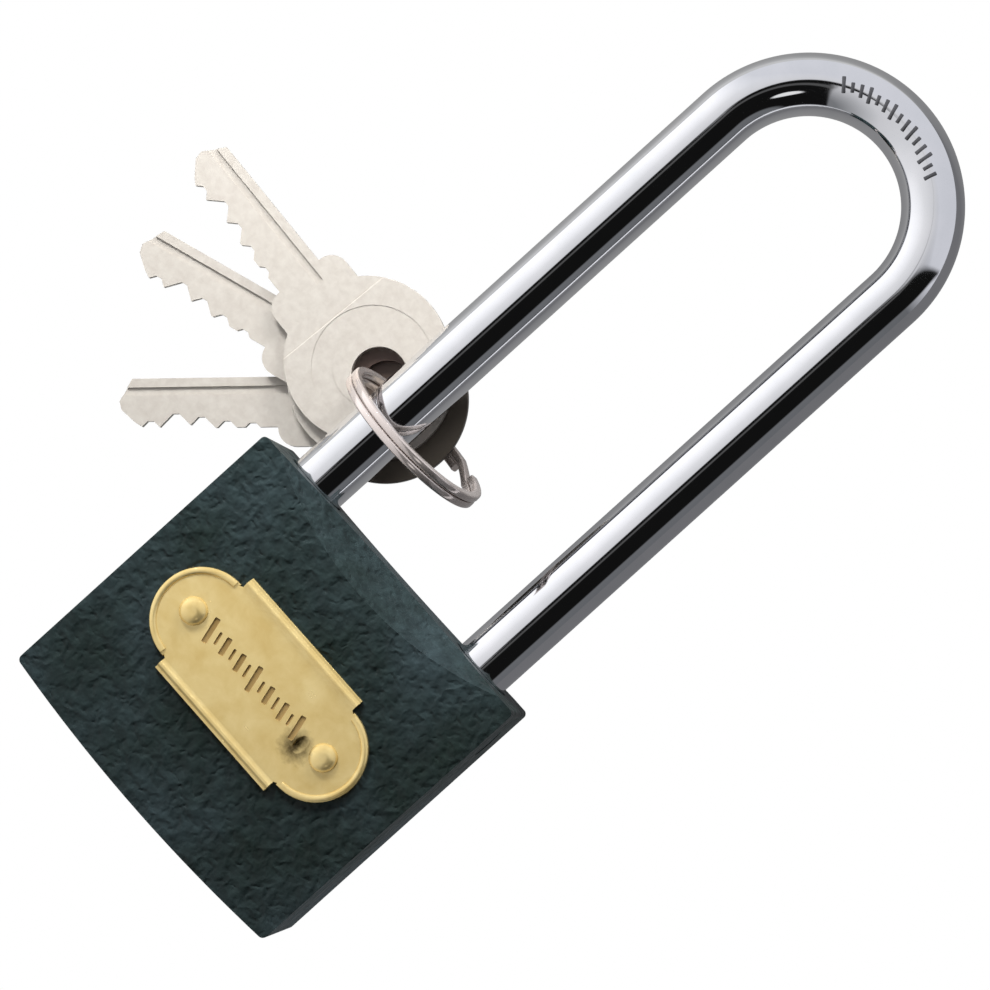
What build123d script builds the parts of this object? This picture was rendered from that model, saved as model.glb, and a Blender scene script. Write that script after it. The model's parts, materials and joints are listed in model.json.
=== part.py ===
from build123d import *
import os
from math import cos, radians, sin, sqrt, tan

# Iron-bodied padlock with a long shackle, lying on its back with three keys on a split ring.
# X is across the body, +Y runs out along the shackle, +Z rises from the back face to the nameplate.
# The origin is the centre of the back face.

# ---- body ----
body_width = 50.0
body_height = 44.8
body_thickness = 23.0
bottom_bow = 1.3
corner_radius = 0.7
face_chamfer = 0.35
scallop_chord = 44.0
scallop_depth = 4.8
scallop_reach = 6.75
side_wall = 3.5

# ---- shackle ----
rod_diameter = 8.6
shackle_rise = 96.0
shackle_lift = 10.0
leg_clearance = 0.3
toe_depth = 11.5
toe_bore_gap = 1.0
heel_neck_radius = 3.0
heel_foot_length = 2.5
heel_spring_length = 14.3
stop_pin_radius = 1.2
stop_pin_depth = 6.4
stop_gap = 0.3

# ---- latch ----
latch_radius = 2.25
latch_clearance = 0.1
latch_depth = 6.0
latch_bite = 2.2
latch_gap = 0.1
notch_gap = 0.2
latch_spring_room = 4.8

# ---- cylinder plug ----
plug_radius = 6.0
plug_clearance = 0.08
plug_setback = 1.6
plug_groove_depth = 0.9
drive_pin_radius = 1.0
drive_pin_orbit = 1.7
drive_pin_play = 0.1
tail_rim = 0.3
tail_clearance = 0.1
keyway_edge = 1.5
keyway_clearance = 0.15
pin_bore_radius = 1.3
pin_clearance = 0.06
plug_pin_radius = 0.8
press_gap = 0.02

# ---- keys ----
blade_length = 22.4
blade_width = 7.0
blade_relief = 0.15
head_radius = 11.6
head_step = 7.4
hole_radius = 3.9
hole_edge = 8.8
neck_width = 12.6
neck_reach = 15.0
neck_corner = 2.6
cut_pitch = 3.6
first_cut = 3.6
cut_flat = 0.9
cut_depths = (0.6, 0.9, 1.5, 2.0, 1.0)
key_gap = 0.1
# from the lowest layer up: name, heading, and how far the key's hole sits off the ring's wire
key_layers = (
    ("key_low", 228.5, (0.55, 0.7)),
    ("key_middle", 197.9, (0.0, 0.25)),
    ("key_top", 177.2, (-0.7, 1.0)),
)
groove_width = 1.1
groove_depth = 0.35

# ---- split ring ----
ring_over_head = 0.55
ring_wire = 1.3
coil_width = 1.1
coil_gap = 0.08
ring_lean = 10.0
ring_from_side = 12.25
ring_over_body = 2.65
ring_jog = 20.0
stack_lift = 1.0

# ---- nameplate ----
plate_length = 37.2
plate_width = 17.7
plate_middle = 22.0
lobe_radius = 7.05
plate_thickness = 0.7
plate_offset = -0.6
plate_rise = -0.3
rim_width = 1.0
rim_height = 0.4
bead_width = 1.9
bead_height = 0.6
rivet_spacing = 26.2
rivet_head_radius = 1.95
rivet_head_height = 1.15
rivet_shank_radius = 1.1
rivet_shank_length = 3.5

# ---- places worked out from the sizes above ----
top_y = body_height / 2
bottom_y = -body_height / 2
leg_radius = rod_diameter / 2
leg_bore = leg_radius + leg_clearance
leg_x = body_width / 2 - side_wall - leg_bore
leg_z = body_thickness / 2
bend_y = top_y + shackle_rise - leg_radius - leg_x
stop_pin_y = top_y - stop_pin_depth
neck_low = stop_pin_y - shackle_lift - stop_pin_radius - stop_gap
neck_high = stop_pin_y + stop_pin_radius + stop_gap
heel_end = neck_low - heel_foot_length
heel_bore_end = heel_end - heel_spring_length
toe_end = top_y - toe_depth

latch_y = top_y - latch_depth
latch_bore = latch_radius + latch_clearance
latch_travel = drive_pin_orbit * sqrt(2)
orbit_side = drive_pin_orbit / sqrt(2)
latch_tip = leg_x - leg_radius - latch_gap
latch_tail = -orbit_side - drive_pin_radius - latch_radius
latch_bore_end = latch_tail - latch_spring_room

plug_z = leg_z + drive_pin_orbit * (1 + cos(radians(45))) / 2
plug_bore = plug_radius + plug_clearance
plug_face = bottom_y - bottom_bow + 0.2
plug_end = plug_face + blade_length + plug_setback + 1.8
tail_radius = drive_pin_orbit + drive_pin_radius + tail_rim
tail_bore = tail_radius + tail_clearance
tail_end = latch_y - latch_bore - 0.4
drive_pin_end = latch_y + 0.4
groove_y = plug_end - plug_setback
keyway_back = plug_radius - keyway_edge
keyway_front = keyway_back - blade_width - 2 * keyway_clearance
shear_inside = plug_radius - 0.15
shear_outside = plug_bore + 0.04
strip_depth = 1.2
strip_width = 2 * pin_bore_radius + 1.0
pin_room = plug_z - strip_depth - shear_outside
driver_length = 0.45 * pin_room
pin_radius = pin_bore_radius - pin_clearance

ring_outer = head_radius + ring_over_head
ring_inner = ring_outer - ring_wire
ring_middle = ring_outer - ring_wire / 2
ring_width = 2 * coil_width + coil_gap
ring_x = -body_width / 2 + ring_from_side
ring_y = top_y + head_radius + ring_over_body
ring_z = ring_outer * cos(radians(ring_lean)) + ring_width / 2 * sin(radians(ring_lean))
hole_offset = head_radius - hole_edge
stack_base = ring_wire + stack_lift
key_pitch = (leg_z - leg_radius - stack_base - key_gap) / 3
key_thickness = key_pitch - key_gap
blade_thickness = key_thickness - 2 * blade_relief


def rod(start, direction, length, radius):
    """A round bar from a point along a direction."""
    base = Plane(origin=start, z_dir=direction)
    return base * Cylinder(radius, length, align=(Align.CENTER, Align.CENTER, Align.MIN))


def block(x_range, y_range, z_range):
    """A box between two values on each axis."""
    size = [high - low for low, high in (x_range, y_range, z_range)]
    centre = [(high + low) / 2 for low, high in (x_range, y_range, z_range)]
    return Pos(*centre) * Box(*size)


def coil(start, direction, length, coil_radius, wire_radius, turns):
    """A compression spring wound inside the given length."""
    pitch = (length - 2 * wire_radius) / turns
    centre = Vector(*start) + Vector(*direction) * wire_radius
    path = Helix(pitch, pitch * turns, coil_radius, center=centre, direction=direction)
    section = Plane(path @ 0, z_dir=path % 0) * Circle(wire_radius)
    return sweep(section, path=path, is_frenet=True)


def stack_rows():
    """The distances along Y at which the pin stacks stand, from the plug's face inward."""
    return [plug_face + first_cut + cut_pitch * row for row in range(len(cut_depths))]


def outer_body():
    corner_left = (-body_width / 2, bottom_y)
    corner_right = (body_width / 2, bottom_y)
    sides = Polyline(corner_left, (-body_width / 2, top_y), (body_width / 2, top_y), corner_right)
    bow = ThreePointArc(corner_left, (0, bottom_y - bottom_bow), corner_right)
    shape = extrude(make_face([sides, bow]), body_thickness)
    shape = fillet(shape.edges().filter_by(Axis.Z), corner_radius)
    faces = shape.faces().sort_by(Axis.Z)
    shape = chamfer(faces[0].edges() + faces[-1].edges(), face_chamfer)
    front_radius = (scallop_chord**2 / 4 + scallop_depth**2) / (2 * scallop_depth)
    centre_y = top_y - scallop_depth + front_radius
    slope = scallop_depth / scallop_reach
    extra = 1.0
    cutter = Cone(
        front_radius - scallop_depth - extra * slope,
        front_radius + extra * slope,
        scallop_reach + 2 * extra,
        align=(Align.CENTER, Align.CENTER, Align.MIN),
    )
    front = Pos(0, centre_y, body_thickness - scallop_reach - extra) * cutter
    back = Pos(0, centre_y, scallop_reach + extra) * Rot(180, 0, 0) * cutter
    return shape - front - back


def body():
    shape = outer_body()
    shape -= rod((-leg_x, heel_bore_end, leg_z), (0, 1, 0), body_height, leg_bore)
    shape -= rod((leg_x, toe_end - toe_bore_gap, leg_z), (0, 1, 0), body_height, leg_bore)
    shape -= rod((0, bottom_y - 5, plug_z), (0, 1, 0), plug_end + 0.1 - bottom_y + 5, plug_bore)
    shape -= rod((0, plug_end - 1, plug_z), (0, 1, 0), drive_pin_end + 0.3 - plug_end + 1, tail_bore)
    shape -= rod((latch_bore_end, latch_y, leg_z), (1, 0, 0), body_width, latch_bore)
    shape -= rod((stop_pin_x(), stop_pin_y, -1), (0, 0, 1), stop_pin_top() + 1.2, stop_pin_radius + press_gap)
    shape -= rod((plug_pin_x(), groove_y, -1), (0, 0, 1), plug_pin_top() + 1.2, plug_pin_radius + press_gap)
    for row_y in stack_rows():
        shape -= rod((0, row_y, 0), (0, 0, 1), plug_z - plug_radius + 1, pin_bore_radius)
    rows = stack_rows()
    half = strip_width / 2
    shape -= block((-half, half), (rows[0] - half, rows[-1] + half), (-1, strip_depth))
    for x in rivet_places():
        hole_start = (x, plate_rise, body_thickness - rivet_shank_length - 0.3)
        shape -= rod(hole_start, (0, 0, 1), body_thickness, rivet_shank_radius + press_gap)
    return shape


def stop_pin_x():
    return -leg_x + heel_neck_radius + 0.15 + stop_pin_radius


def stop_pin_top():
    return leg_z + stop_pin_radius


def plug_pin_x():
    return plug_radius - plug_groove_depth + 0.05 + plug_pin_radius


def plug_pin_top():
    return plug_z + plug_pin_radius


def rivet_places():
    return [plate_offset - rivet_spacing / 2, plate_offset + rivet_spacing / 2]


def shackle():
    heel = Line((-leg_x, heel_end, leg_z), (-leg_x, bend_y, leg_z))
    bend = ThreePointArc((-leg_x, bend_y, leg_z), (0, bend_y + leg_x, leg_z), (leg_x, bend_y, leg_z))
    toe = Line((leg_x, bend_y, leg_z), (leg_x, toe_end, leg_z))
    section = Plane((-leg_x, heel_end, leg_z), z_dir=(0, 1, 0)) * Circle(leg_radius)
    bar = sweep(section, path=Wire([heel, bend, toe]))
    ends = bar.faces().filter_by(Plane.XZ)
    bar = chamfer(ends.edges(), 0.8)
    neck_sleeve = rod((-leg_x, neck_low, leg_z), (0, 1, 0), neck_high - neck_low, leg_radius + 1)
    neck_sleeve -= rod((-leg_x, neck_low, leg_z), (0, 1, 0), neck_high - neck_low, heel_neck_radius)
    notch_half = latch_radius + notch_gap
    notch_end = latch_tip + latch_travel + notch_gap
    notch = block(
        (latch_tip - 1, notch_end),
        (latch_y - notch_half, latch_y + notch_half),
        (leg_z - rod_diameter, leg_z + rod_diameter),
    )
    return bar - neck_sleeve - notch


def shackle_spring():
    length = heel_end - heel_bore_end - 0.1
    return coil((-leg_x, heel_bore_end + 0.05, leg_z), (0, 1, 0), length, 2.9, 0.55, 6)


def shackle_stop_pin():
    return rod((stop_pin_x(), stop_pin_y, 0.1), (0, 0, 1), stop_pin_top(), stop_pin_radius)


def plug_pin():
    return rod((plug_pin_x(), groove_y, 0.1), (0, 0, 1), plug_pin_top(), plug_pin_radius)


def turned_open(shape):
    """Turns a piece of the plug from its home direction to the open one, a quarter turn on."""
    return Pos(0, 0, plug_z) * Rot(0, 90, 0) * Pos(0, 0, -plug_z) * shape


def plug():
    shape = rod((0, plug_face, plug_z), (0, 1, 0), plug_end - plug_face, plug_radius)
    shape = chamfer(shape.edges().sort_by(Axis.Y)[0], 0.3)
    groove_ring = rod((0, groove_y - 0.95, plug_z), (0, 1, 0), 1.9, plug_radius + 1)
    groove_ring -= rod((0, groove_y - 0.95, plug_z), (0, 1, 0), 1.9, plug_radius - plug_groove_depth)
    shape -= groove_ring
    shape += rod((0, plug_end - 0.5, plug_z), (0, 1, 0), tail_end - plug_end + 0.5, tail_radius)
    keyway_half = blade_thickness / 2 + keyway_clearance
    shape -= block(
        (-keyway_half, keyway_half),
        (plug_face - 1, plug_face + blade_length + keyway_clearance * 2),
        (plug_z + keyway_front, plug_z + keyway_back),
    )
    for row_y in stack_rows():
        bore_length = plug_radius + keyway_front + max(cut_depths) + 0.2
        shape -= rod((0, row_y, plug_z - plug_radius), (0, 0, 1), bore_length, pin_bore_radius)
    hole_z = plug_z - orbit_side
    shape -= rod((orbit_side, tail_end - 4, hole_z), (0, 1, 0), 5, drive_pin_radius + press_gap)
    return turned_open(shape)


def drive_pin():
    start = (orbit_side, tail_end - 3.9, plug_z - orbit_side)
    return turned_open(rod(start, (0, 1, 0), drive_pin_end - tail_end + 3.9, drive_pin_radius))


def key_pin(row_y, cut_depth):
    """A bottom pin, from its place on the key's cut out to the shear line."""
    inner_end = keyway_front + cut_depth
    length = shear_inside + inner_end
    shape = rod((0, row_y, plug_z - shear_inside), (0, 0, 1), length, pin_radius)
    shape = chamfer(shape.edges().sort_by(Axis.Z)[-1], 0.7)
    return turned_open(shape)


def driver_pin(row_y):
    shape = rod((0, row_y, plug_z - shear_outside), (0, 0, -1), driver_length, pin_radius)
    return chamfer(shape.edges().sort_by(Axis.Z)[0], 0.25)


def pin_spring(row_y):
    length = pin_room - driver_length - 0.06
    return coil((0, row_y, strip_depth + 0.03), (0, 0, 1), length, pin_radius - 0.25, 0.16, 4)


def chamber_strip():
    rows = stack_rows()
    half = strip_width / 2 - press_gap
    return block((-half, half), (rows[0] - half, rows[-1] + half), (0, strip_depth - press_gap))


def latch():
    shape = rod((latch_tail, latch_y, leg_z), (1, 0, 0), latch_tip - latch_tail, latch_radius)
    shape = chamfer(shape.edges().group_by(Axis.X)[-1], 0.4)
    slot_half = drive_pin_radius + drive_pin_play
    return shape - block(
        (-orbit_side - slot_half, -orbit_side + slot_half),
        (latch_y - 2 * latch_radius, drive_pin_end + 0.2),
        (leg_z - rod_diameter, leg_z + rod_diameter),
    )


def latch_spring():
    length = latch_spring_room - 0.1
    return coil((latch_bore_end + 0.05, latch_y, leg_z), (1, 0, 0), length, 1.6, 0.25, 5)


def latch_bore_cap():
    outer_end = body_width / 2 - 0.1
    cap_start = leg_x + leg_bore + 0.4
    return rod((cap_start, latch_y, leg_z), (1, 0, 0), outer_end - cap_start, latch_bore - press_gap)


def plate_outline(inset):
    """The plate's outline seen from the front: a rectangle with a round lobe at each end."""
    lobe_x = plate_length / 2 - lobe_radius
    middle = Rectangle(plate_middle - 2 * inset, plate_width - 2 * inset)
    lobes = Pos(lobe_x, 0) * Circle(lobe_radius - inset) + Pos(-lobe_x, 0) * Circle(lobe_radius - inset)
    return middle + lobes + Rectangle(2 * lobe_x, 2 * (lobe_radius - inset))


def nameplate():
    shape = extrude(plate_outline(0), plate_thickness)
    ends = plate_outline(0) - plate_outline(rim_width) - Rectangle(plate_middle, plate_width)
    shape += Pos(0, 0, plate_thickness - 0.1) * extrude(ends, rim_height + 0.1)
    for side in (-1, 1):
        bead_top = plate_thickness + bead_height
        bead = block((-plate_middle / 2, plate_middle / 2), (-bead_width / 2, bead_width / 2), (0, bead_top))
        bead = fillet(bead.edges().filter_by(Axis.X).group_by(Axis.Z)[-1], bead_width * 0.3)
        shape += Pos(0, side * (plate_width - bead_width) / 2, 0) * bead
    for side in (-1, 1):
        shape -= rod((side * rivet_spacing / 2, 0, -1), (0, 0, 1), 5, rivet_shank_radius + press_gap)
    return Pos(plate_offset, plate_rise, body_thickness) * shape


def rivet(x):
    shank_length = rivet_shank_length + plate_thickness
    shank = rod((0, 0, -rivet_shank_length), (0, 0, 1), shank_length, rivet_shank_radius)
    sphere_radius = (rivet_head_radius**2 + rivet_head_height**2) / (2 * rivet_head_height)
    ball = Pos(0, 0, plate_thickness + rivet_head_height - sphere_radius) * Sphere(sphere_radius)
    reach = 2 * rivet_head_radius
    dome = ball & block((-reach, reach), (-reach, reach), (plate_thickness, plate_thickness + reach))
    return Pos(x, plate_rise, body_thickness) * (shank + dome)


def key_flat():
    """One key lying flat with its head's centre at the origin and its tip along +X."""
    tip = neck_reach + blade_length
    half = blade_width / 2
    head = extrude(Circle(head_radius), key_thickness)
    neck_face = Pos(neck_reach / 2, 0) * Rectangle(neck_reach, neck_width)
    neck_corners = neck_face.vertices().group_by(Axis.X)[-1]
    neck_face = fillet(neck_corners, neck_corner)
    blade_face = make_face(
        Polyline(
            (0, -half), (tip - 1.8, -half), (tip, -half * 0.1), (tip - 0.3, half * 0.25),
            (tip - 2.2, half * 0.75), (tip - 3.6, half), (0, half), close=True,
        )
    )
    for row, depth in enumerate(cut_depths):
        x = neck_reach + first_cut + cut_pitch * row
        slope_run = cut_flat / 2 + depth
        blade_face -= make_face(
            Polyline(
                (x - slope_run - 0.5, half + 0.5), (x - cut_flat / 2, half - depth),
                (x + cut_flat / 2, half - depth), (x + slope_run + 0.5, half + 0.5), close=True,
            )
        )
    thin = Pos(0, 0, blade_relief) * extrude(Circle(head_radius) + neck_face + blade_face, blade_thickness)
    past_step = block((head_step, tip), (-2 * head_radius, 2 * head_radius), (-1, key_thickness + 1))
    shape = (head - past_step) + thin
    channel_floor = key_thickness - blade_relief - groove_depth
    channel_sides = (-half / 3 - groove_width, -half / 3)
    channel = block((head_radius + 1, tip + 1), channel_sides, (channel_floor, key_thickness + 1))
    hole = rod((-hole_offset, 0, -1), (0, 0, 1), key_thickness + 2, hole_radius)
    return shape - channel - hole


def key_place(layer, slide):
    """Where a key's hole is centred: by the middle of the stretch of ring inside that key's layer."""
    low = stack_base + key_pitch * layer
    high = low + key_thickness
    upright = cos(radians(ring_lean))
    outer_reach = sqrt(ring_outer**2 - ((ring_z - high) / upright) ** 2)
    inner_reach = sqrt(ring_inner**2 - ((ring_z - low) / upright) ** 2)
    x = ring_x - (outer_reach + inner_reach) / 2 + slide[0]
    y = ring_y + (ring_z - (low + high) / 2) * tan(radians(ring_lean)) + slide[1]
    return x, y


def key(layer, heading, slide):
    x, y = key_place(layer, slide)
    placed = Pos(x, y, stack_base + key_pitch * layer) * Rot(0, 0, heading)
    return placed * Pos(hole_offset, 0, 0) * key_flat()


def key_ring():
    """Two flat coils side by side, joined by a short slanting step."""
    step = coil_width + coil_gap
    section = Rectangle(ring_wire, coil_width)
    turn = 360 - ring_jog
    shape = None
    for side in (-1, 1):
        profile = Plane.XZ * Pos(ring_middle, side * step / 2) * section
        flat_coil = revolve(profile, Axis.Z, turn)
        shape = flat_coil if shape is None else shape + flat_coil
    lower = Rot(0, 0, -ring_jog) * (Plane.XZ * Pos(ring_middle, -step / 2) * section)
    upper = Plane.XZ * Pos(ring_middle, step / 2) * section
    shape += loft([lower, upper])
    upright = Rot(ring_lean - 90, 0, 0) * Rot(0, 0, 60)
    return Pos(ring_x, ring_y, ring_z) * upright * shape


def write_nodes():
    nodes = {
        "body": body(),
        "shackle": shackle(),
        "shackle_spring": shackle_spring(),
        "shackle_stop_pin": shackle_stop_pin(),
        "plug": plug(),
        "plug_pin": plug_pin(),
        "drive_pin": drive_pin(),
        "chamber_strip": chamber_strip(),
        "latch": latch(),
        "latch_spring": latch_spring(),
        "latch_bore_cap": latch_bore_cap(),
        "nameplate": nameplate(),
        "nameplate_rivets": Compound(children=[rivet(x) for x in rivet_places()]),
        "key_ring": key_ring(),
    }
    for number, (row_y, depth) in enumerate(zip(stack_rows(), cut_depths), 1):
        nodes[f"key_pin_{number}"] = key_pin(row_y, depth)
        nodes[f"driver_pin_{number}"] = driver_pin(row_y)
        nodes[f"pin_spring_{number}"] = pin_spring(row_y)
    for layer, (name, heading, slide) in enumerate(key_layers):
        nodes[name] = key(layer, heading, slide)
    os.makedirs("parts", exist_ok=True)
    for name, shape in nodes.items():
        export_step(shape, f"parts/{name}.step")


write_nodes()
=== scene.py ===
import json
from math import acos, atan2, cos, degrees, pi, radians, sin

import bmesh
import bpy
from mathutils import Matrix, Vector


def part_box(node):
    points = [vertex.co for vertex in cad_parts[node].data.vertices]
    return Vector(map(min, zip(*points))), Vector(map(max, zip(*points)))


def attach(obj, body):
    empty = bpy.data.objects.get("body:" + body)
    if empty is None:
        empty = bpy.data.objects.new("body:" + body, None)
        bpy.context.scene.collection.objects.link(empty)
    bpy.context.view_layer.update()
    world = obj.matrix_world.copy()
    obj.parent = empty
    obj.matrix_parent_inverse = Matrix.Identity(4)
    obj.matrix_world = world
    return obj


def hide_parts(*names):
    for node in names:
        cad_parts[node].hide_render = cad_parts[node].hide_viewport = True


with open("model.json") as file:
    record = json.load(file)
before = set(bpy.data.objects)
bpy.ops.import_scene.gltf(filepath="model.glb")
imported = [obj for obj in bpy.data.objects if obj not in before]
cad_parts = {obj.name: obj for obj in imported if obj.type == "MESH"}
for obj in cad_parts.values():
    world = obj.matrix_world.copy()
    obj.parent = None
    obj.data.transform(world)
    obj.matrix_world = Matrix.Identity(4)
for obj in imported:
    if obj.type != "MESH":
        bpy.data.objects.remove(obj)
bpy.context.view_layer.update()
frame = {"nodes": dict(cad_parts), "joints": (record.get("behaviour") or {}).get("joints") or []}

nodes = frame["nodes"]
mm = 0.001


# places and sizes read from the frame

def boxOf(node):
    return [Vector(corner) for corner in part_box(node)]


def middle(node):
    low, high = boxOf(node)
    return (low + high) / 2


def hingeOf(node):
    # the place of the joint that carries this node
    return Vector(next(joint for joint in frame["joints"] if joint["child"] == node)["pos_m"])


def barSizes():
    # the bar's radius, how far each leg is from the middle, and how high both lie
    low, high = boxOf("shackle")
    barRadius = (high.z - low.z) / 2
    return barRadius, high.x - barRadius, (high.z + low.z) / 2


# helpers for shader nodes

def newNodes(name):
    material = bpy.data.materials.new(name)
    material.use_nodes = True
    tree = material.node_tree
    return material, tree, tree.nodes["Principled BSDF"]


def feed(tree, node, values):
    # links or sets the node's sockets in their order
    for socket, value in zip(node.inputs, values):
        if isinstance(value, bpy.types.NodeSocket):
            tree.links.new(value, socket)
        else:
            socket.default_value = value
    return node.outputs[0]


def calc(tree, operation, *values):
    node = tree.nodes.new("ShaderNodeMath")
    node.operation = operation
    return feed(tree, node, values)


def mixColours(tree, share, first, second, blend="MIX"):
    node = tree.nodes.new("ShaderNodeMixRGB")
    node.blend_type = blend
    return feed(tree, node, (share, first, second))


def mixShaders(tree, share, first, second):
    return feed(tree, tree.nodes.new("ShaderNodeMixShader"), (share, first, second))


def objectCoords(tree, stretch=(1, 1, 1)):
    coords = tree.nodes.new("ShaderNodeTexCoord")
    mapping = tree.nodes.new("ShaderNodeMapping")
    mapping.inputs["Scale"].default_value = stretch
    tree.links.new(coords.outputs["Object"], mapping.inputs["Vector"])
    return mapping.outputs["Vector"]


def noise(tree, vector, scale, detail=3.0, roughness=0.55, distortion=0.0):
    node = tree.nodes.new("ShaderNodeTexNoise")
    node.inputs["Scale"].default_value = scale
    node.inputs["Detail"].default_value = detail
    node.inputs["Roughness"].default_value = roughness
    node.inputs["Distortion"].default_value = distortion
    tree.links.new(vector, node.inputs["Vector"])
    return node.outputs["Fac"]


def ramp(tree, value, *stops):
    node = tree.nodes.new("ShaderNodeValToRGB")
    while len(node.color_ramp.elements) < len(stops):
        node.color_ramp.elements.new(0.5)
    for element, (place, colour) in zip(node.color_ramp.elements, stops):
        element.position = place
        element.color = (*colour, 1)
    tree.links.new(value, node.inputs["Fac"])
    return node.outputs["Color"]


def remap(tree, value, low, high, fromLow=0.3, fromHigh=0.7):
    node = tree.nodes.new("ShaderNodeMapRange")
    node.inputs["From Min"].default_value = fromLow
    node.inputs["From Max"].default_value = fromHigh
    node.inputs["To Min"].default_value = low
    node.inputs["To Max"].default_value = high
    tree.links.new(value, node.inputs["Value"])
    return node.outputs["Result"]


def bump(tree, height, depth, strength=1.0, under=None):
    node = tree.nodes.new("ShaderNodeBump")
    node.inputs["Strength"].default_value = strength
    node.inputs["Distance"].default_value = depth
    tree.links.new(height, node.inputs["Height"])
    if under is not None:
        tree.links.new(under, node.inputs["Normal"])
    return node.outputs["Normal"]


# helpers for shapes

def addObject(name, data):
    item = bpy.data.objects.new(name, data)
    bpy.context.scene.collection.objects.link(item)
    return item


def meshFrom(name, bm):
    mesh = bpy.data.meshes.new(name)
    bm.to_mesh(mesh)
    bm.free()
    return mesh


def placePiece(name, bm, material, body, replaced=(), smooth=35, recalc=True):
    bmesh.ops.remove_doubles(bm, verts=bm.verts, dist=1e-7)
    if recalc:
        bmesh.ops.recalc_face_normals(bm, faces=bm.faces)
    mesh = meshFrom(name, bm)
    mesh.polygons.foreach_set("use_smooth", [True] * len(mesh.polygons))
    mesh.set_sharp_from_angle(angle=radians(smooth))
    mesh.materials.append(material)
    piece = addObject(name, mesh)
    even = piece.modifiers.new("evenFaces", "WEIGHTED_NORMAL")
    even.keep_sharp = True
    even.weight = 80
    if replaced:
        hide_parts(*replaced)
    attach(piece, body)
    return piece


def meshObject(name, bm):
    bmesh.ops.recalc_face_normals(bm, faces=bm.faces)
    return addObject(name, meshFrom(name, bm))


def carve(bm, cutters, operation="DIFFERENCE"):
    # cuts each cutter out of the shape, or adds it on, and gives back a bmesh
    target = meshObject("carveTarget", bm)
    tools = [meshObject("carveTool", cutter) for cutter in cutters]
    for tool in tools:
        modifier = target.modifiers.new("carve", "BOOLEAN")
        modifier.operation = operation
        modifier.solver = "EXACT"
        modifier.object = tool
    graph = bpy.context.evaluated_depsgraph_get()
    result = bpy.data.meshes.new_from_object(target.evaluated_get(graph))
    carved = bmesh.new()
    carved.from_mesh(result)
    for item in [target, *tools]:
        mesh = item.data
        bpy.data.objects.remove(item)
        bpy.data.meshes.remove(mesh)
    bpy.data.meshes.remove(result)
    return carved


def sharpEdges(bm, angle):
    edges = []
    for edge in bm.edges:
        if len(edge.link_faces) == 2 and edge.calc_face_angle(0) > radians(angle):
            edges.append(edge)
    return edges


def softenEdges(bm, edges, width, segments=3):
    bmesh.ops.bevel(
        bm, geom=edges, offset=width, segments=segments, profile=0.5,
        affect="EDGES", material=-1, clamp_overlap=True, loop_slide=True,
    )


def spinProfile(points, steps=64):
    # points are (radius, height) pairs, from the axis outwards or back to it
    bm = bmesh.new()
    corners = [bm.verts.new((radius, 0, height)) for radius, height in points]
    edges = [bm.edges.new(pair) for pair in zip(corners, corners[1:])]
    bmesh.ops.spin(
        bm, geom=corners + edges, cent=(0, 0, 0), axis=(0, 0, 1), angle=2 * pi,
        steps=steps, use_merge=True,
    )
    bmesh.ops.remove_doubles(bm, verts=bm.verts, dist=1e-7)
    return bm


def extrudeOutline(points, low, high):
    # a flat outline of (x, y) points made into a slab between two heights
    bm = bmesh.new()
    corners = [bm.verts.new((x, y, low)) for x, y in points]
    face = bm.faces.new(corners)
    grown = bmesh.ops.extrude_face_region(bm, geom=[face])["geom"]
    raised = [item for item in grown if isinstance(item, bmesh.types.BMVert)]
    bmesh.ops.translate(bm, verts=raised, vec=(0, 0, high - low))
    bmesh.ops.recalc_face_normals(bm, faces=bm.faces)
    return bm


def moveAll(bm, matrix):
    bmesh.ops.transform(bm, matrix=matrix, verts=bm.verts)
    return bm


def addInto(bm, other):
    # joins another bmesh's shapes into this one
    mesh = bpy.data.meshes.new("join")
    other.to_mesh(mesh)
    other.free()
    bm.from_mesh(mesh)
    bpy.data.meshes.remove(mesh)
    return bm


def arcPoints(centre, radius, start, end, steps):
    # points along an arc, angles in degrees
    points = []
    for step in range(steps + 1):
        angle = radians(start + (end - start) * step / steps)
        points.append((centre[0] + radius * cos(angle), centre[1] + radius * sin(angle)))
    return points


def circlePoints(radius, count):
    return arcPoints((0, 0), radius, 0, 360 - 360 / count, count - 1)


def boxTool(low, high):
    tool = bmesh.new()
    bmesh.ops.create_cube(tool, size=1)
    size = [b - a for a, b in zip(low, high)]
    moveAll(tool, Matrix.Diagonal((*size, 1)))
    return moveAll(tool, Matrix.Translation([(a + b) / 2 for a, b in zip(low, high)]))


def softBlock(size, edge):
    # a small block round the origin with all its edges rounded
    block = bmesh.new()
    bmesh.ops.create_cube(block, size=1)
    moveAll(block, Matrix.Diagonal((*size, 1)))
    softenEdges(block, list(block.edges), edge, 2)
    return block


# finishes

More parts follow.
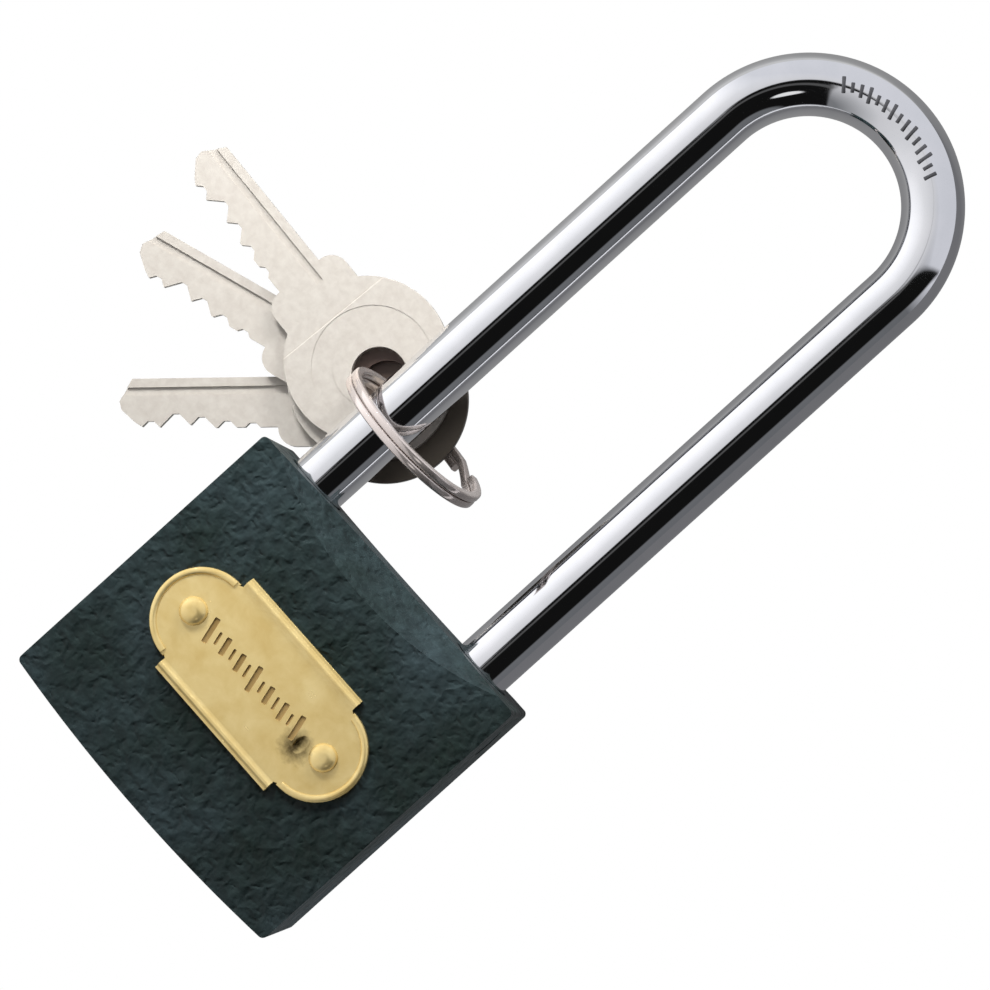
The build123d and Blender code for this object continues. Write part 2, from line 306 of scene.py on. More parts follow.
def hammeredEnamel():
    settings = {
        "dark": (0.0095, 0.0160, 0.0140), "light": (0.024, 0.036, 0.0395), "mottle": 0.5,
        "dimple": 640.0, "dimpleBlend": 0.8, "dimpleShare": 1.8, "relief": 0.22 * mm,
        "warp": 380.0, "warpShare": 0.0022, "soft": 620.0, "cloud": 60.0,
        "grain": 2400.0, "grainRelief": 0.012 * mm, "rough": (0.34, 0.50), "specular": 0.16,
    }
    material, tree, shader = newNodes("hammeredEnamel")
    vector = objectCoords(tree)
    soft = noise(tree, vector, settings["soft"], 2.0, 0.5, 0.3)
    fine = noise(tree, vector, settings["grain"], 2.0)
    cloud = noise(tree, vector, settings["cloud"])

    # cells with their places shifted by a noise, so that the dimples aren't regular
    warp = tree.nodes.new("ShaderNodeTexNoise")
    warp.inputs["Scale"].default_value = settings["warp"]
    warp.inputs["Detail"].default_value = 2.0
    tree.links.new(vector, warp.inputs["Vector"])
    shifted = mixColours(tree, settings["warpShare"], vector, warp.outputs["Color"], "LINEAR_LIGHT")
    cells = tree.nodes.new("ShaderNodeTexVoronoi")
    cells.feature = "SMOOTH_F1"
    cells.inputs["Scale"].default_value = settings["dimple"]
    cells.inputs["Smoothness"].default_value = settings["dimpleBlend"]
    tree.links.new(shifted, cells.inputs["Vector"])
    height = calc(tree, "MULTIPLY_ADD", cells.outputs["Distance"], settings["dimpleShare"], soft)

    colour = ramp(tree, cloud, (0.32, settings["dark"]), (0.7, settings["light"]))
    shade = ramp(tree, soft, (0.36, (0.6, 0.6, 0.6)), (0.66, (1.4, 1.4, 1.4)))
    mottled = mixColours(tree, settings["mottle"], colour, shade, "MULTIPLY")
    tree.links.new(mottled, shader.inputs["Base Color"])
    tree.links.new(remap(tree, soft, *settings["rough"]), shader.inputs["Roughness"])
    dimples = bump(tree, height, settings["relief"])
    tree.links.new(bump(tree, fine, settings["grainRelief"], 0.5, dimples), shader.inputs["Normal"])
    shader.inputs["Specular IOR Level"].default_value = settings["specular"]
    return material


def paintedShadePatch(tree, vector, colour, centre, inner, outer, tint):
    # a painted shade patch with a ragged edge round one point
    apart = tree.nodes.new("ShaderNodeVectorMath")
    apart.operation = "DISTANCE"
    apart.inputs[1].default_value = centre
    tree.links.new(vector, apart.inputs[0])
    rim = outer - inner
    ragged = noise(tree, vector, 1100.0, 3.0, 0.6)
    reach = calc(tree, "MULTIPLY_ADD", ragged, rim * 1.2, apart.outputs["Value"])
    share = remap(tree, reach, 1, 0, inner + rim * 0.6, outer * 1.6)
    return mixColours(tree, share, colour, (*tint, 1))


def metalFinish(name, dark, light, rough, stretch=(1, 1, 1), grain=3000.0, relief=0.004 * mm,
                cloudScale=120.0, bumpStrength=0.5, metal=1.0, paintedShades=()):
    material, tree, shader = newNodes(name)
    plain = objectCoords(tree)
    streaks = noise(tree, objectCoords(tree, stretch), grain, 4.0, 0.6)
    cloud = noise(tree, plain, cloudScale, 4.0, 0.6, 0.3)
    colour = ramp(tree, cloud, (0.3, dark), (0.7, light))
    # painted shade patches laid over the base colour
    for patch in paintedShades:
        colour = paintedShadePatch(tree, plain, colour, *patch)
    tree.links.new(colour, shader.inputs["Base Color"])
    worn = calc(tree, "MULTIPLY_ADD", streaks, 0.5, calc(tree, "MULTIPLY", cloud, 0.5))
    tree.links.new(remap(tree, worn, *rough), shader.inputs["Roughness"])
    tree.links.new(bump(tree, streaks, relief, bumpStrength), shader.inputs["Normal"])
    shader.inputs["Metallic"].default_value = metal
    return material


# each painted shade patch is a centre, the radii between which it fades, and its colour:
# painted shade in the pressed dent beside the plate's right-hand rivet, round the holes under the top bow,
# and behind the shackle where its shadow falls
plateDentShade = (middle("nameplate") + Vector((9.5, -1.7, 0.4)) * mm, 0.6 * mm, 2.4 * mm, (0.08, 0.055, 0.018))
holeShade = (hingeOf("key_top"), 3.6 * mm, 4.6 * mm, (0.085, 0.058, 0.048))
bowShackleShadow = (middle("key_low") + Vector((18.0, 8.0, 0)) * mm, 8.5 * mm, 9.8 * mm, (0.105, 0.088, 0.068))
keyLook = {
    "dark": (0.50, 0.46, 0.41), "light": (0.58, 0.545, 0.49), "rough": (0.34, 0.48),
    "grain": 2600.0, "cloudScale": 900.0, "metal": 0.5,
}
finishes = {
    "enamel": hammeredEnamel(),
    "chrome": metalFinish(
        "chromePlate", (0.80, 0.81, 0.83), (0.88, 0.88, 0.90), (0.03, 0.07),
        grain=900.0, relief=0.0015 * mm, bumpStrength=0.2,
    ),
    "plateBrass": metalFinish(
        "paleBrass", (0.72, 0.53, 0.20), (0.86, 0.68, 0.31), (0.17, 0.28), stretch=(1, 5, 1),
        grain=700.0, relief=0.002 * mm, cloudScale=300.0, metal=0.68, paintedShades=[plateDentShade],
    ),
    "stampShade": metalFinish(
        "stampedBrassShade", (0.30, 0.19, 0.06), (0.46, 0.31, 0.12), (0.3, 0.5), grain=2000.0, metal=0.5,
    ),
    "keyNickel": metalFinish("keyNickel", **keyLook),
    # nickel with painted shade round the holes under the top bow; the low key's also has the shackle's
    # painted shadow
    "holeShadeNickel": metalFinish("holeShadeNickel", **keyLook, paintedShades=[holeShade]),
    "holeAndShadowNickel": metalFinish("holeAndShadowNickel", **keyLook, relief=0.01 * mm, paintedShades=[holeShade, bowShackleShadow]),
    "stampedSteel": metalFinish(
        "stampedSteelShade", (0.10, 0.10, 0.105), (0.22, 0.22, 0.23), (0.3, 0.5), grain=2000.0,
    ),
    "ringNickel": metalFinish(
        "ringNickel", (0.62, 0.545, 0.51), (0.76, 0.69, 0.655), (0.08, 0.18), grain=2000.0, metal=0.8,
    ),
    "turnedBrass": metalFinish(
        "turnedBrass", (0.62, 0.46, 0.20), (0.74, 0.58, 0.30), (0.20, 0.36), stretch=(1, 12, 1), grain=900.0,
    ),
    "turnedSteel": metalFinish(
        "turnedSteel", (0.42, 0.42, 0.43), (0.56, 0.56, 0.57), (0.25, 0.42), grain=1800.0,
    ),
    "springWire": metalFinish(
        "springWire", (0.32, 0.32, 0.34), (0.45, 0.45, 0.47), (0.25, 0.4), grain=2500.0,
    ),
}
print("finishes ready")


# lock body: a block with a bowed bottom, scalloped top edges and the two shackle bores

def bodyBlock(settings, low, high):
    halfWidth, topY, thickness = high
    bow = settings["bow"]
    bowRadius = (halfWidth**2 + bow**2) / (2 * bow)
    bowCentre = (0, low.y + bowRadius)
    edgeAngle = 180 / pi * atan2(low.y + bow - bowCentre[1], halfWidth)
    outline = arcPoints(bowCentre, bowRadius, -180 - edgeAngle, edgeAngle, 40)
    outline += [(halfWidth, topY), (-halfWidth, topY)]
    block = extrudeOutline(outline, 0, thickness)
    upright = [
        edge for edge in sharpEdges(block, 40)
        if abs(edge.verts[0].co.z - edge.verts[1].co.z) > thickness / 2
    ]
    softenEdges(block, upright, settings["corner"], 5)
    return block


def scallopCones(settings, topY, thickness):
    # one wide cone for each of the two long top edges
    depth = settings["scallopDepth"]
    past = settings["past"]
    wide = (settings["scallopChord"]**2 / 4 + depth**2) / (2 * depth)
    slope = depth / settings["scallopReach"]
    coneDepth = settings["scallopReach"] + 2 * past
    cones = []
    for side, rim in ((1, thickness), (-1, 0)):
        cone = bmesh.new()
        bmesh.ops.create_cone(
            cone, cap_ends=True, segments=512, depth=coneDepth,
            radius1=wide - depth - past * slope, radius2=wide + past * slope,
        )
        if side < 0:
            moveAll(cone, Matrix.Rotation(pi, 4, "X"))
        heightOff = side * (past - coneDepth / 2)
        moveAll(cone, Matrix.Translation((0, topY - depth + wide, rim + heightOff)))
        cones.append(cone)
    return cones


def boreTools(settings, topY):
    # the two shackle bores with their lips, and the plug's bore from below
    barRadius, legX, legZ = barSizes()
    lip, past = settings["boreLip"], settings["past"]
    bore = barRadius + settings["boreGap"]
    tools = []
    for x, deep in ((legX, settings["toeBore"]), (-legX, settings["heelBore"])):
        tool = spinProfile([(0, -deep), (bore, -deep), (bore, -lip), (bore + lip + past, past), (0, past)])
        tools.append(moveAll(tool, Matrix.Translation((x, topY, legZ)) @ Matrix.Rotation(-pi / 2, 4, "X")))
    low, high = boxOf("plug")
    bore = (high.x - low.x) / 2 + settings["plugGap"]
    deep, out = settings["plugDeep"], 3 * past
    tool = spinProfile([(0, -deep), (bore, -deep), (bore, out), (0, out)])
    seat = Matrix.Translation((0, low.y, (low.z + high.z) / 2))
    tools.append(moveAll(tool, seat @ Matrix.Rotation(pi / 2, 4, "X")))
    return tools


def seatTools(settings):
    # seats for the strip let into the back face and for the cap of the cross bore in a side face
    gap, past = settings["seatGap"], settings["past"]
    allRound = Vector((1, 1, 1)) * gap
    low, high = boxOf("chamber_strip")
    strip = boxTool(low - allRound - Vector((0, 0, past)), high + allRound)
    low, high = boxOf("latch_bore_cap")
    bore = (high.y - low.y) / 2 + gap
    length = high.x - low.x + gap + past
    cap = spinProfile([(0, 0), (bore, 0), (bore, length), (0, length)], steps=48)
    inner, outward = (low.x - gap, pi / 2) if high.x > 0 else (high.x + gap, -pi / 2)
    seat = Matrix.Translation((inner, (low.y + high.y) / 2, (low.z + high.z) / 2))
    return [strip, moveAll(cap, seat @ Matrix.Rotation(outward, 4, "Y"))]


def lockBody():
    settings = {
        "bow": 1.3 * mm, "corner": 0.7 * mm, "edge": 0.45 * mm,
        "scallopChord": 44.0 * mm, "scallopDepth": 4.8 * mm, "scallopReach": 6.75 * mm,
        "boreGap": 0.3 * mm, "boreLip": 0.35 * mm, "toeBore": 12.5 * mm, "heelBore": 34.9 * mm,
        "plugGap": 0.08 * mm, "plugDeep": 26.0 * mm, "seatGap": 0.04 * mm,
        "past": 1.0 * mm,  # how far a cutter stands out of the faces it cuts
    }
    low, high = boxOf("body")
    block = carve(bodyBlock(settings, low, high), scallopCones(settings, high.y, high.z))
    bmesh.ops.dissolve_limit(block, angle_limit=radians(0.4), verts=block.verts, edges=block.edges)
    softenEdges(block, sharpEdges(block, 14), settings["edge"])
    block = carve(block, boreTools(settings, high.y) + seatTools(settings))
    placePiece(
        "lockBody", block, finishes["enamel"], "lock_body", ["body"], smooth=28, recalc=False,
    )


lockBody()
print("lock body made")


# shackle: one bent bar, its heel with a reduced neck, its toe with the latch's notch

def shackleBar():
    settings = {
        "neckRadius": 3.0 * mm, "neckTop": 4.9 * mm, "neckLength": 13.0 * mm, "endChamfer": 0.8 * mm,
        "notchTop": 3.55 * mm, "notchHeight": 4.9 * mm, "notchDeep": 2.5 * mm, "toeBelow": 11.5 * mm,
        "around": 64, "bendSteps": 96,
    }
    low, high = boxOf("shackle")
    barRadius, legX, legZ = barSizes()
    bendY = high.y - high.x
    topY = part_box("body")[1][1]
    toeEnd = topY - settings["toeBelow"]

    bm = bmesh.new()
    ringVerts = bmesh.ops.create_circle(
        bm, segments=settings["around"], radius=barRadius, matrix=Matrix.Rotation(pi / 2, 4, "X"),
    )["verts"]
    bmesh.ops.translate(bm, verts=ringVerts, vec=(-legX, bendY, legZ))
    startEdges = list(bm.edges)

    def runAlong(edges, side, stops):
        # carries the ring of edges down a leg through (height, radius) stops
        radius = barRadius
        for y, nextRadius in stops:
            grown = bmesh.ops.extrude_edge_only(bm, edges=edges)["geom"]
            verts = [item for item in grown if isinstance(item, bmesh.types.BMVert)]
            edges = [item for item in grown if isinstance(item, bmesh.types.BMEdge)]
            edges = [edge for edge in edges if all(vert in verts for vert in edge.verts)]
            offset = y - verts[0].co.y
            bmesh.ops.translate(bm, verts=verts, vec=(0, offset, 0))
            factor = nextRadius / radius
            seat = Matrix.Translation((-side * legX, 0, -legZ))
            bmesh.ops.scale(bm, verts=verts, vec=(factor, 1, factor), space=seat)
            radius = nextRadius
        bmesh.ops.contextual_create(bm, geom=edges)

    neckTop = topY - settings["neckTop"]
    neckEnd = neckTop - settings["neckLength"]
    chamfer = settings["endChamfer"]
    neck = settings["neckRadius"]
    bent = bmesh.ops.spin(
        bm, geom=ringVerts + startEdges, cent=(0, bendY, legZ), axis=(0, 0, -1),
        angle=pi, steps=settings["bendSteps"],
    )["geom_last"]
    toeEdges = [item for item in bent if isinstance(item, bmesh.types.BMEdge)]
    runAlong(startEdges, -1, [
        (neckTop, barRadius), (neckTop, neck), (neckEnd, neck), (neckEnd, barRadius),
        (low.y + chamfer, barRadius), (low.y, barRadius - chamfer),
    ])
    runAlong(toeEdges, 1, [(toeEnd + chamfer, barRadius), (toeEnd, barRadius - chamfer)])

    notchTop = topY - settings["notchTop"]
    notchSide = legX - barRadius
    notch = boxTool(
        (notchSide - 1 * mm, notchTop - settings["notchHeight"], legZ - 2 * barRadius),
        (notchSide + settings["notchDeep"], notchTop, legZ + 2 * barRadius),
    )
    bm = carve(bm, [notch])
    placePiece("shackleBar", bm, finishes["chrome"], "shackle", ["shackle"])


def shackleMarks():
    # a row of plain raised gauge marks round the toe side of the bend
    settings = {
        "count": 15, "from": 121.0, "to": 60.0, "lengths": (2.3 * mm, 1.426 * mm, 1.84 * mm),
        "wide": 0.55 * mm, "high": 0.9 * mm, "edge": 0.1 * mm, "proud": 0.035 * mm,
        "tilt": -2.0, "lean": 14.0,
    }
    barRadius, legX, legZ = barSizes()
    high = boxOf("shackle")[1]
    step = (settings["to"] - settings["from"]) / (settings["count"] - 1)
    row = bmesh.new()
    for number in range(settings["count"]):
        length = settings["lengths"][number % len(settings["lengths"])]
        mark = softBlock((length, settings["wide"], settings["high"]), settings["edge"])
        lift = barRadius + settings["proud"] - settings["high"] / 2
        moveAll(mark, Matrix.Rotation(radians(settings["lean"]), 4, "Z"))
        moveAll(mark, Matrix.Translation((0, 0, lift)))
        moveAll(mark, Matrix.Rotation(radians(settings["tilt"]), 4, "Y"))
        moveAll(mark, Matrix.Translation((legX, 0, legZ)))
        moveAll(mark, Matrix.Rotation(radians(settings["from"] + step * number), 4, "Z"))
        moveAll(mark, Matrix.Translation((0, high.y - high.x, 0)))
        addInto(row, mark)
    placePiece("shackleMarks", row, finishes["stampedSteel"], "shackle")


shackleBar()
shackleMarks()
print("shackle made")


# nameplate: pressed brass with sloping long edges, round ends with rolled rims, and plain stamped strokes

def plateOutline(settings, halfLength, halfWidth):
    # one closed outline: two round ends, and a wider middle with a small notch at each of its corners
    lobe = settings["lobe"]
    lobeX = halfLength - lobe
    middleHalf = settings["middleHalf"]
    notch = settings["notch"]
    reach = degrees(acos((middleHalf + notch - lobeX) / lobe))
    right = arcPoints((lobeX, 0), lobe, -reach, reach, 36)
    inner = right[-1][1] - 0.5 * notch
    upper = [(middleHalf + notch, inner), (middleHalf, inner + 0.6 * notch), (middleHalf, halfWidth)]
    upper += [(-x, y) for x, y in reversed(upper)]
    half = right + upper
    return half + [(-x, -y) for x, y in half], reach


def endRim(settings, lobeX, reach, side):
    # the rolled rim that follows one round end
    bm = bmesh.new()
    radius = settings["rimRadius"]
    across = Matrix.Rotation(pi / 2, 4, "X")
    bmesh.ops.create_circle(bm, segments=16, radius=radius, matrix=across)
    bmesh.ops.scale(bm, verts=bm.verts, vec=(1, 1, settings["rimRise"] / radius))
    bmesh.ops.translate(bm, verts=bm.verts, vec=(settings["lobe"] - radius, 0, settings["thick"]))
    start = Matrix.Rotation(radians(-reach), 3, "Z")
    bmesh.ops.rotate(bm, verts=bm.verts, cent=(0, 0, 0), matrix=start)
    first = list(bm.edges)
    ends = bmesh.ops.spin(
        bm, geom=list(bm.verts) + first, cent=(0, 0, 0), axis=(0, 0, 1),
        angle=radians(2 * reach), steps=48,
    )["geom_last"]
    last = [item for item in ends if isinstance(item, bmesh.types.BMEdge)]
    bmesh.ops.contextual_create(bm, geom=first)
    bmesh.ops.contextual_create(bm, geom=last)
    turn = Matrix.Identity(4) if side > 0 else Matrix.Rotation(pi, 4, "Z")
    return moveAll(bm, turn @ Matrix.Translation((lobeX, 0, 0)))


def plateBead(settings, halfWidth, side):
    # a rolled long edge: a steep outer slope, a rounded crest and a long run down to the flat
    crestRadius, foot = 0.34 * mm, 0.02 * mm
    inside = halfWidth - settings["beadWide"]
    crestAt = (halfWidth - 0.52 * settings["beadWide"], settings["beadTop"] - crestRadius)
    section = [(halfWidth, foot), (halfWidth, 0.3 * mm)]
    section += arcPoints(crestAt, crestRadius, 40, 140, 8)
    section += [(inside, settings["thick"] - 0.05 * mm), (inside, foot)]
    bead = extrudeOutline(section, -settings["middleHalf"], settings["middleHalf"])
    moveAll(bead, Matrix(((0, 0, 1, 0), (1, 0, 0, 0), (0, 1, 0, 0), (0, 0, 0, 1))))
    if side < 0:
        moveAll(bead, Matrix.Rotation(pi, 4, "Z"))
    return bead


def plateStamps(settings, strokes, halfLength):
    # plain strokes of differing height along the middle, and a pressed dent beside one rivet
    thick = settings["thick"]
    tools = []
    for number, height in enumerate(strokes["heights"]):
        x = (number / (len(strokes["heights"]) - 1) - 0.5) * strokes["spread"] + strokes["shift"]
        stroke = softBlock((strokes["wide"][number % 2], height * mm, 2 * mm), 0.15 * mm)
        moveAll(stroke, Matrix.Rotation(radians(strokes["lean"]), 4, "Z"))
        moveAll(stroke, Matrix.Translation((x, 0, thick - strokes["deep"] + 1 * mm)))
        tools.append(stroke)
    dent = bmesh.new()
    bmesh.ops.create_uvsphere(dent, u_segments=32, v_segments=16, radius=1.25 * mm)
    moveAll(dent, Matrix.Diagonal((1, 1.5, 1, 1)))
    dentX = halfLength - settings["lobe"] - 1.75 * mm
    moveAll(dent, Matrix.Translation((dentX, -1.1 * mm, thick + 0.8 * mm)))
    tools.append(dent)
    return tools


def nameplate():
    settings = {
        "thick": 0.7 * mm, "middleHalf": 11.0 * mm, "lobe": 7.05 * mm, "notch": 0.45 * mm, "edge": 0.14 * mm,
        "rimRadius": 0.5 * mm, "rimRise": 0.32 * mm, "beadTop": 1.22 * mm, "beadWide": 1.9 * mm,
    }
    strokes = {
        "spread": 17.4 * mm, "shift": -0.9 * mm, "lean": 16.0,
        "wide": (0.8 * mm, 0.42 * mm), "deep": 0.22 * mm,
        "heights": (3.8, 1.9, 2.6, 1.7, 2.6, 1.9, 3.8, 1.7, 2.6, 1.9, 2.6, 1.7, 3.6),
    }
    low, high = boxOf("nameplate")
    centre = (low + high) / 2
    halfLength, halfWidth = (high.x - low.x) / 2, (high.y - low.y) / 2
    thick = settings["thick"]
    outline, reach = plateOutline(settings, halfLength, halfWidth)
    plate = extrudeOutline(outline, 0, thick)
    topEdges = [
        edge for edge in sharpEdges(plate, 40)
        if min(vert.co.z for vert in edge.verts) > thick / 2
    ]
    softenEdges(plate, topEdges, settings["edge"], 2)
    beads = [plateBead(settings, halfWidth, side) for side in (1, -1)]
    rims = [endRim(settings, halfLength - settings["lobe"], reach - 4, side) for side in (1, -1)]
    plate = carve(plate, [*beads, *rims], "UNION")
    plate = carve(plate, plateStamps(settings, strokes, halfLength))
    moveAll(plate, Matrix.Translation((centre.x, centre.y, low.z)))
    piece = placePiece(
        "nameplate", plate, finishes["plateBrass"], "lock_body", ["nameplate"],
        smooth=40, recalc=False,
    )

    # the floor and walls of each stroke carry the dark shade of the stamp
    piece.data.materials.append(finishes["stampShade"])
    for face in piece.data.polygons:
        across = abs(face.center.x - centre.x - strokes["shift"]) < strokes["spread"] / 2 + 0.6 * mm
        inBand = across and abs(face.center.y - centre.y) < 2.7 * mm
        sunk = low.z + 0.2 * mm < face.center.z < low.z + thick - 0.04 * mm
        if inBand and sunk and face.area < 6 * mm**2:
            face.material_index = 1


nameplate()
print("nameplate made")


# rivets: domed heads with a small flat, on short shanks

def plateRivets():
    settings = {
        "headRadius": 1.95 * mm, "headHeight": 1.15 * mm, "flat": 0.55 * mm, "shank": 1.1 * mm, "steps": 10,
    }
    low, high = boxOf("nameplate_rivets")
    centre = (low + high) / 2
    head, shank, flat = settings["headRadius"], settings["shank"], settings["flat"]
    spread = (high.x - low.x) / 2 - head
    seat = high.z - settings["headHeight"]
    profile = [(0, low.z), (shank, low.z), (shank, seat), (head, seat)]
    for step in range(1, settings["steps"] + 1):
        angle = pi / 2 * step / settings["steps"]
        rise = settings["headHeight"] * (0.12 + 0.88 * sin(angle))
        profile.append((flat + (head - flat) * cos(angle), seat + rise))
    profile.append((0, high.z))
    bm = bmesh.new()
    for side in (1, -1):
        rivet = spinProfile(profile, steps=40)
        addInto(bm, moveAll(rivet, Matrix.Translation((centre.x + side * spread, centre.y, 0))))
    placePiece(
        "plateRivets", bm, finishes["plateBrass"], "lock_body", ["nameplate_rivets"],
        smooth=50,
    )


plateRivets()
print("rivets made")


# split ring: two flat coils and the short step between them

def splitRing():
    settings = {
        "wire": 1.3 * mm, "coil": 1.1 * mm, "gap": 0.08 * mm, "corner": 0.3 * mm,
        "lean": 10.0, "jog": 20.0, "jogAt": 60.0, "steps": 110, "jogSteps": 12,
    }
    low, high = boxOf("key_ring")
    wire, coil = settings["wire"], settings["coil"]
    reach = (high.x - low.x) / 2 - wire / 2
    rise = coil + settings["gap"]
    bm = bmesh.new()
    section = [
        bm.verts.new((reach + x * wire, 0, -rise / 2 + z * coil))
        for x, z in ((0.5, 0.5), (0.5, -0.5), (-0.5, -0.5), (-0.5, 0.5))
    ]
    bm.faces.new(section)
    bmesh.ops.bevel(
        bm, geom=list(bm.verts), offset=settings["corner"], segments=3, profile=0.5,
        affect="VERTICES", material=-1,
    )
    face = list(bm.faces)[0]
    end = list(face.edges) + list(face.verts)
    coilTurn, jogTurn = radians(360 - settings["jog"]), radians(settings["jog"])
    coilStretch = (coilTurn, settings["steps"], 0)
    for angle, steps, climb in (coilStretch, (jogTurn, settings["jogSteps"], rise), coilStretch):
        end = bmesh.ops.spin(
            bm, geom=end, cent=(0, 0, 0), axis=(0, 0, 1), dvec=(0, 0, climb / steps),
            angle=angle, steps=steps,
        )["geom_last"]
    lastEdges = [item for item in end if isinstance(item, bmesh.types.BMEdge)]
    bmesh.ops.contextual_create(bm, geom=lastEdges)
    upright = Matrix.Rotation(radians(settings["lean"] - 90), 4, "X")
    upright = upright @ Matrix.Rotation(radians(settings["jogAt"]), 4, "Z")
    moveAll(bm, Matrix.Translation((low + high) / 2) @ upright)
    placePiece("splitRing", bm, finishes["ringNickel"], "key_ring", ["key_ring"])


splitRing()
print("ring made")


# keys: one blank and one set of cuts, placed on each key's own hinge

keySizes = {
    "head": 11.6 * mm, "step": 7.4 * mm, "hole": 3.9 * mm, "holeOff": 2.8 * mm, "neckHalf": 6.3 * mm,
    "neckEnd": 15.0 * mm, "neckCorner": 2.6 * mm, "blade": 22.4 * mm, "bladeHalf": 3.5 * mm,
    "relief": 0.15 * mm, "firstCut": 3.6 * mm, "pitch": 3.6 * mm, "cutFlat": 0.9 * mm,
    "cuts": (0.6, 0.9, 1.5, 2.0, 1.0), "grooveWide": 1.1 * mm, "grooveDeep": 0.35 * mm, "edge": 0.14 * mm,
    "panelOuter": 8.6 * mm, "panelInner": 5.6 * mm, "panelDeep": 0.07 * mm,
}
keyLooks = {
    "key_top": {"heading": 177.2, "finish": "keyNickel"},
    "key_middle": {"heading": 197.9, "finish": "holeShadeNickel"},
    "key_low": {"heading": 228.5, "finish": "holeAndShadowNickel"},
}


def bladeOutline():
    k = keySizes
    half = k["bladeHalf"]
    tip = k["neckEnd"] + k["blade"]
    corner = k["neckCorner"]
    inner = k["neckEnd"] - corner
    points = [(0, -k["neckHalf"])]
    points += arcPoints((inner, -k["neckHalf"] + corner), corner, -90, 0, 8)
    points += [(k["neckEnd"], -half), (tip - 1.8 * mm, -half), (tip, -half * 0.1)]
    points += [(tip - 0.3 * mm, half * 0.25), (tip - 2.2 * mm, half * 0.75), (tip - 3.6 * mm, half)]
    points.append((k["neckEnd"], half))
    points += arcPoints((inner, k["neckHalf"] - corner), corner, 0, 90, 8)
    points += [(0, k["neckHalf"])]
    return points


def bladeCuts():
    # one sloping-sided cutter for each pin's cut
    k = keySizes
    half = k["bladeHalf"]
    extra = 0.5 * mm
    extra = 0.5 * mm
    cutters = []
    for row, depth in enumerate(k["cuts"]):
        x = k["neckEnd"] + k["firstCut"] + k["pitch"] * row
        flat = k["cutFlat"] / 2
        run = flat + depth * mm + extra
        floorY, openY = half - depth * mm, half + extra
        sides = [(x - flat, floorY), (x + flat, floorY), (x + run, openY), (x - run, openY)]
        cutters.append(extrudeOutline(sides, -1 * mm, 3 * mm))
    return cutters


def headPanel(thick):
    # a shallow sunk band round the bow, on both faces
    k = keySizes
    outer, inner, deep = k["panelOuter"], k["panelInner"], k["panelDeep"]
    profile = [(outer, -deep), (outer, deep), (inner, deep), (inner, -deep), (outer, -deep)]
    place = -k["holeOff"] * 0.5
    return [moveAll(spinProfile(profile, steps=72), Matrix.Translation((place, 0, z))) for z in (0, thick)]


def keyShape(node):
    k = keySizes
    low, high = boxOf(node)
    thick = (high - low).z
    under, over = -1 * mm, thick + 1 * mm
    disc = extrudeOutline(circlePoints(k["head"], 144), k["relief"], thick - k["relief"])
    pad = extrudeOutline(circlePoints(k["head"], 144), 0, thick)
    pad = carve(pad, [boxTool((k["step"], -20 * mm, -5 * mm), (40 * mm, 20 * mm, 5 * mm))])
    softenEdges(pad, sharpEdges(pad, 40), k["edge"], 2)
    blade = extrudeOutline(bladeOutline(), k["relief"], thick - k["relief"])
    grooveEnd = k["neckEnd"] + k["blade"] + 1 * mm
    grooveTop = -k["bladeHalf"] / 3
    groove = boxTool(
        (k["head"] + 1 * mm, grooveTop - k["grooveWide"], thick - k["relief"] - k["grooveDeep"]),
        (grooveEnd, grooveTop, over),
    )
    blade = carve(blade, [*bladeCuts(), groove])
    blade = carve(blade, [disc], "UNION")
    softenEdges(blade, sharpEdges(blade, 40), k["edge"] * 0.5, 2)
    whole = carve(pad, [blade], "UNION")
    hole = spinProfile([(0, under), (k["hole"], under), (k["hole"], over), (0, over)], steps=72)
    moveAll(hole, Matrix.Translation((-k["holeOff"], 0, 0)))
    return carve(whole, [hole, *headPanel(thick)])


def threeKeys():
    for node, look in keyLooks.items():
        bm = keyShape(node)
        hinge = hingeOf(node)
        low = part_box(node)[0]
        turn = Matrix.Rotation(radians(look["heading"]), 4, "Z")
        place = Matrix.Translation((hinge.x, hinge.y, low[2])) @ turn
        moveAll(bm, place @ Matrix.Translation((keySizes["holeOff"], 0, 0)))
        name = node.replace("key_", "key") + "Blank"
        placePiece(name, bm, finishes[look["finish"]], node, [node], recalc=False)


threeKeys()
print("keys made")


# carried-over pieces inside the lock keep their shape and get their metals

def finishInside():
    remodelled = ("body", "shackle", "nameplate", "nameplate_rivets", "key_ring", *keyLooks)
    for name, item in nodes.items():
        if name in remodelled:
            continue
        if "spring" in name:
            finish = "springWire"
        elif name.startswith(("key_pin", "driver_pin")) or name in ("plug", "latch"):
            finish = "turnedBrass"
        elif name in ("chamber_strip", "latch_bore_cap"):
            finish = "enamel"
        else:
            finish = "turnedSteel"
        item.data.materials.clear()
        item.data.materials.append(finishes[finish])


finishInside()
print("inside pieces finished")


# floor, lights and camera

